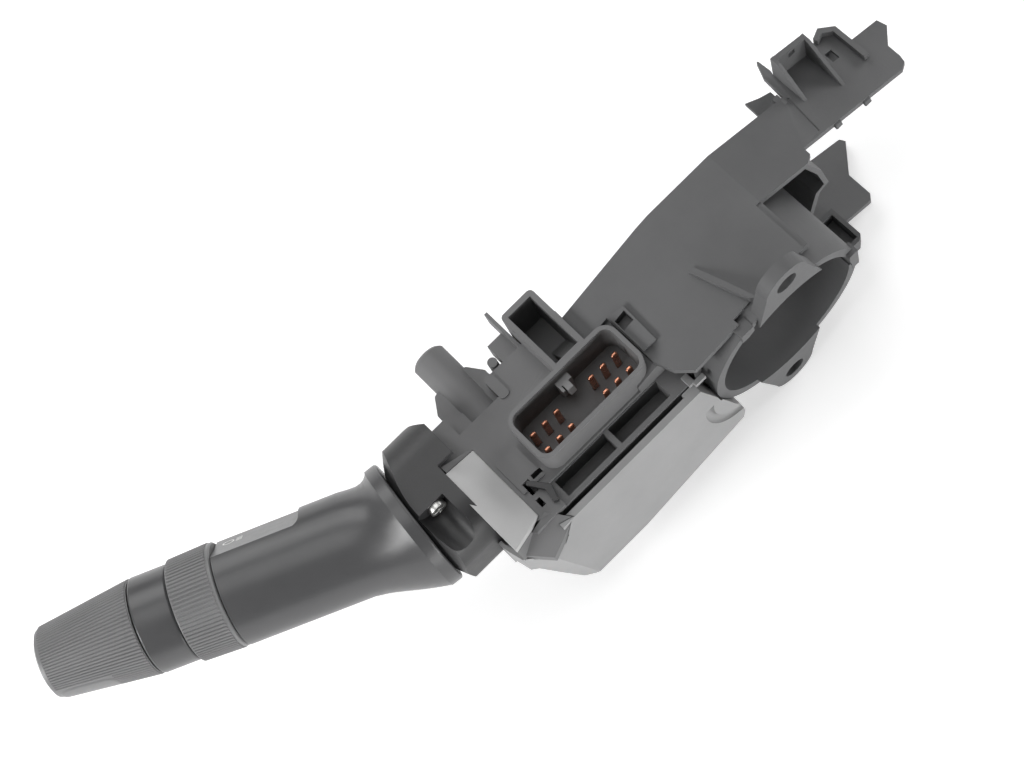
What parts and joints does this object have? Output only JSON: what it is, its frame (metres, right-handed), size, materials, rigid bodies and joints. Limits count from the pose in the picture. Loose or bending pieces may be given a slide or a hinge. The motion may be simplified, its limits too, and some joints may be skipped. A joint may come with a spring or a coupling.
{
  "type": "combination stalk switch",
  "caption": "Steering column stalk switch with a ribbed knob and ring, a shrouded connector, and a forked bracket that slides over the column.",
  "frame": {"origin": "centre of the column bore at its mouth", "axes": "+Y along the column bore toward the driver, +X toward the fork arms, +Z toward the connector mouth"},
  "size_m": [0.2821, 0.0911, 0.08],
  "materials": {
    "bracket_plastic": "fine grained glass-filled plastic",
    "housing_plastic": "fine grained plastic",
    "cover_plastic": "light grained plastic",
    "nose_plastic": "fine grained plastic",
    "stalk_plastic": "satin plastic",
    "knob_plastic": "satin plastic with fine ribs",
    "neck_plastic": "moulded black plastic",
    "white_plastic": "slippery white plastic",
    "board_laminate": "brown laminate",
    "copper_pins": "bright copper alloy",
    "zinc_steel": "bright zinc plated",
    "pin_steel": "ground steel"
  },
  "bodies": {
    "switch_body": {"column_bracket": "bracket_plastic", "switch_housing": "housing_plastic", "case_cover": "cover_plastic", "block_cap": "cover_plastic", "nose_upper_shell": "nose_plastic", "nose_lower_shell": "nose_plastic", "nose_screw": "zinc_steel", "connector_pins": "copper_pins", "connector_key": "cover_plastic", "terminal_board": "board_laminate", "latch_clip": "housing_plastic", "end_clip": "cover_plastic", "turn_contact_board": "board_laminate", "beam_contact_board": "board_laminate", "contact_strips": "copper_pins", "detent_track": "white_plastic", "case_screws": "zinc_steel", "cancel_pawl_pin": "pin_steel"},
    "turn_carrier": {"turn_carrier": "white_plastic", "turn_pivot_pin": "zinc_steel", "beam_pivot_pin": "pin_steel", "detent_spring": "pin_steel"},
    "detent_plunger": {"detent_plunger": "pin_steel"},
    "stalk": {"stalk_lever": "stalk_plastic", "stalk_neck": "neck_plastic", "index_ring": "stalk_plastic", "rotary_contact_disc": "board_laminate", "shaft_guide_plug": "neck_plastic"},
    "fog_ring": {"fog_ring": "knob_plastic"},
    "knob": {"end_knob": "knob_plastic", "knob_shaft": "neck_plastic", "rotary_contact_hub": "white_plastic"},
    "turn_contact_slider": {"turn_contact_slider": "white_plastic"},
    "beam_contact_slider": {"beam_contact_slider": "white_plastic"},
    "cancel_pawl": {"cancel_pawl": "white_plastic"}
  },
  "joints": [
    {"name": "turn_swing", "type": "hinge", "parent": "switch_body", "child": "turn_carrier", "pos_m": [-0.0725, 0.028, 0], "axis": [0, 1, 0], "range_deg": [-10, 10]},
    {"name": "detent_press", "type": "slide", "parent": "turn_carrier", "child": "detent_plunger", "axis": [-1, 0, 0], "range_m": [0, 0.0008], "stiffness_N_per_m": 150, "springref_m": -0.002, "deforming": ["detent_spring"]},
    {"name": "beam_swing", "type": "hinge", "parent": "turn_carrier", "child": "stalk", "pos_m": [-0.0725, 0.028, 0], "axis": [0, 0, 1], "range_deg": [-8, 5], "stiffness_Nm_per_rad": 2.5},
    {"name": "fog_ring_turn", "type": "hinge", "parent": "stalk", "child": "fog_ring", "pos_m": [-0.10444, 0.03284, 0], "axis": [-0.91, 0.4147, 0], "range_deg": [0, 60]},
    {"name": "knob_turn", "type": "hinge", "parent": "stalk", "child": "knob", "pos_m": [-0.10444, 0.03284, 0], "axis": [-0.91, 0.4147, 0], "range_deg": [0, 60]},
    {"name": "turn_contact_slide", "type": "slide", "parent": "switch_body", "child": "turn_contact_slider", "axis": [0, 0, 1], "range_m": [-0.0027, 0.0027]},
    {"name": "beam_contact_slide", "type": "slide", "parent": "switch_body", "child": "beam_contact_slider", "axis": [0, 1, 0], "range_m": [-0.0012, 0.0018]},
    {"name": "pawl_swing", "type": "hinge", "parent": "switch_body", "child": "cancel_pawl", "pos_m": [-0.043, 0.0195, -0.014], "axis": [0, 1, 0], "range_deg": [-8, 8], "stiffness_Nm_per_rad": 0.02}
  ],
  "couplings": [
    {"joint": "turn_contact_slide", "follows": "turn_swing", "m_per_rad": -0.0147},
    {"joint": "beam_contact_slide", "follows": "beam_swing", "m_per_rad": -0.01193}
  ]
}
